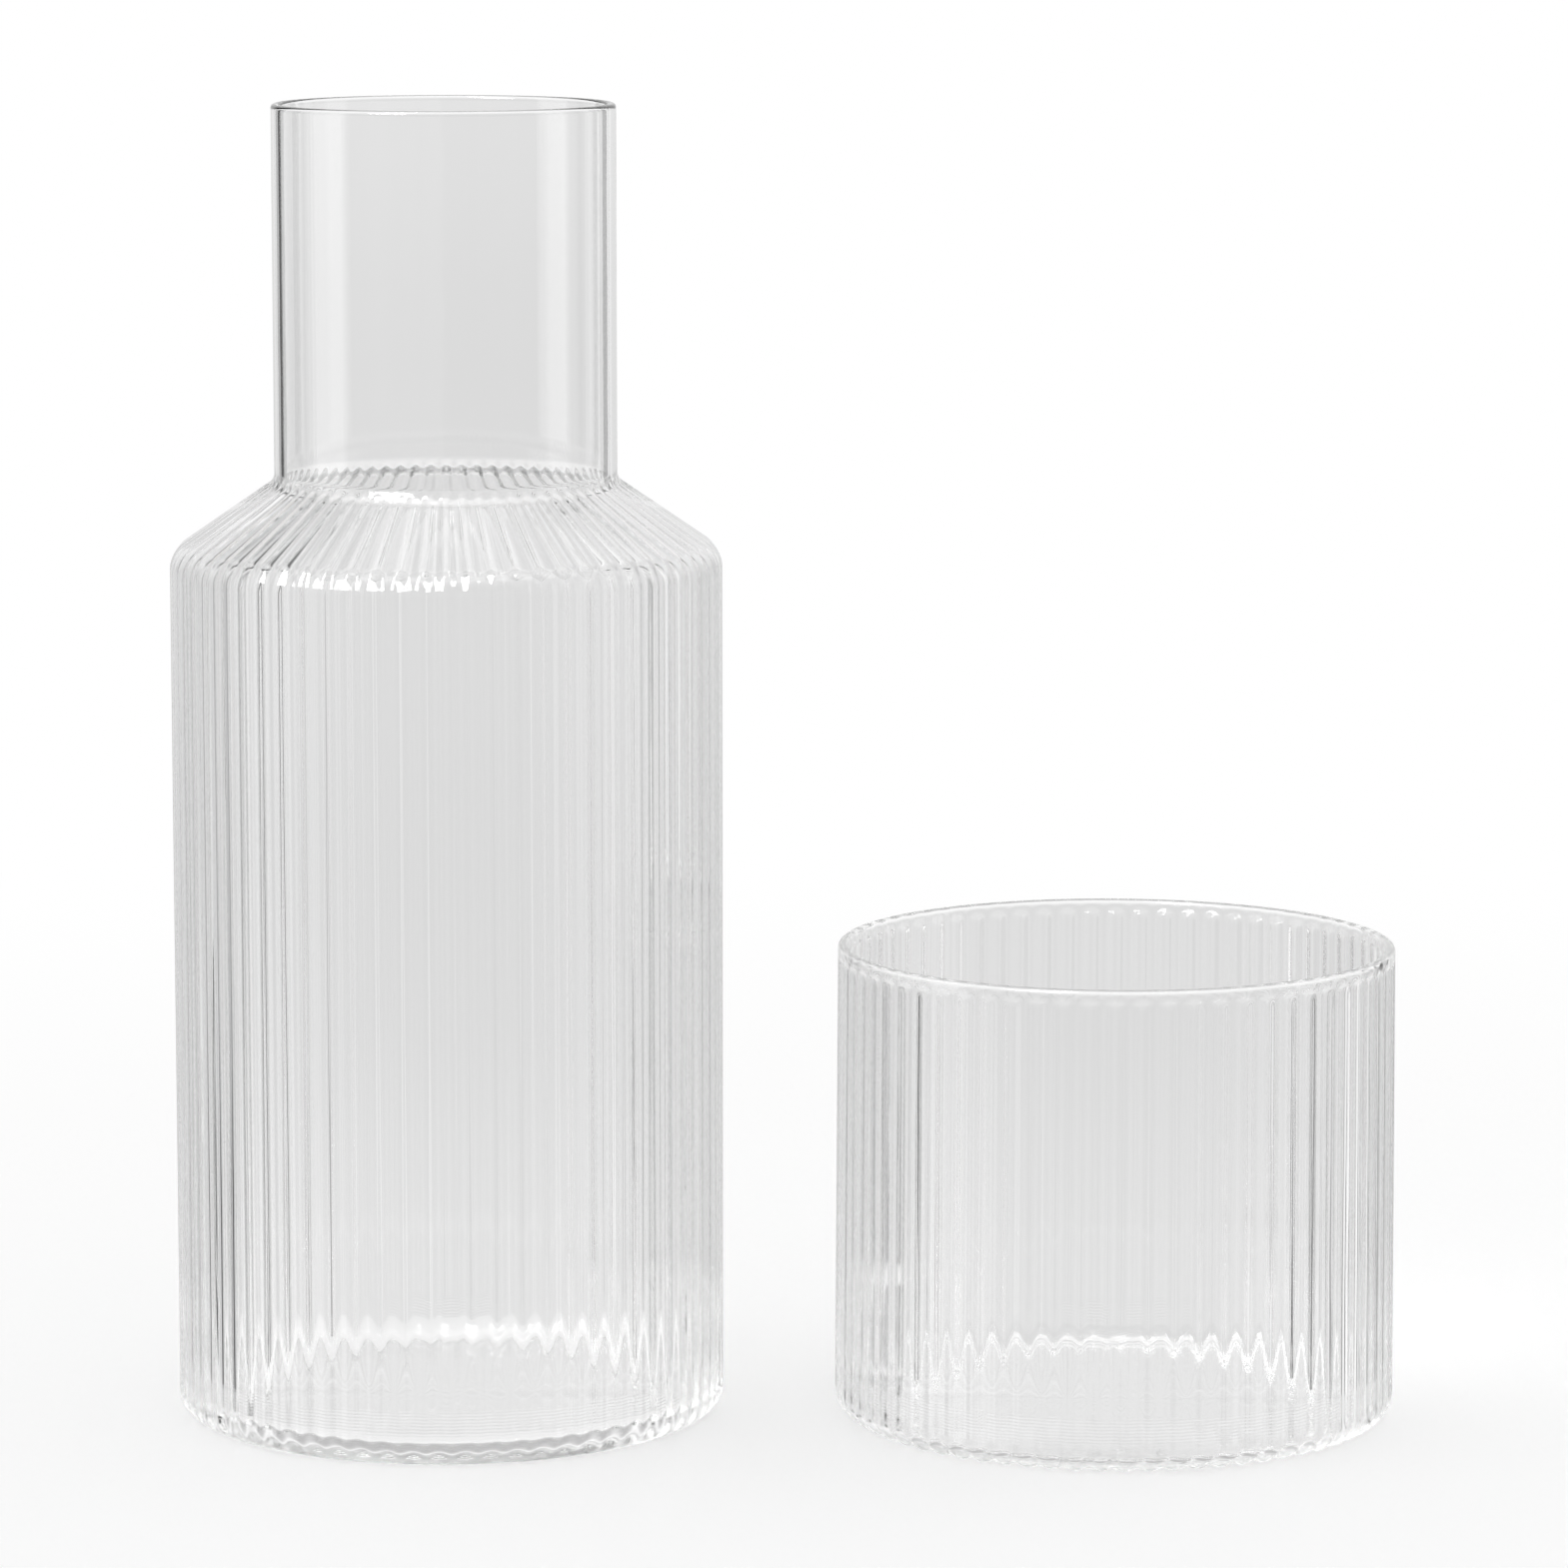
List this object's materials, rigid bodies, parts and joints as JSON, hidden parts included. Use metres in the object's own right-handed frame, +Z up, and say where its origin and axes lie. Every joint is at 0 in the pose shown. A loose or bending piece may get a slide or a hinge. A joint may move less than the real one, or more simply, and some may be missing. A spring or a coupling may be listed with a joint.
{
  "type": "bedside carafe with tumbler",
  "caption": "Ribbed clear glass bedside carafe with a plain straight neck, beside a matching ribbed tumbler that turns over to become its lid.",
  "frame": {"origin": "centre of the carafe's flat foot, on the surface that both vessels stand on", "axes": "+Z up along the carafe's axis, +X towards the tumbler standing beside it, -Y towards the front"},
  "size_m": [0.2049, 0.0968, 0.22],
  "materials": {
    "clear_glass": "clear blown soda-lime glass, fire-polished edges"
  },
  "bodies": {
    "carafe": {"carafe": "clear_glass"},
    "tumbler": {"tumbler": "clear_glass"}
  },
  "joints": [
    {"name": "tumbler_lift", "type": "slide", "parent": "carafe", "child": "tumbler", "axis": [0, 0, 1], "range_m": [0, 0.24]}
  ]
}
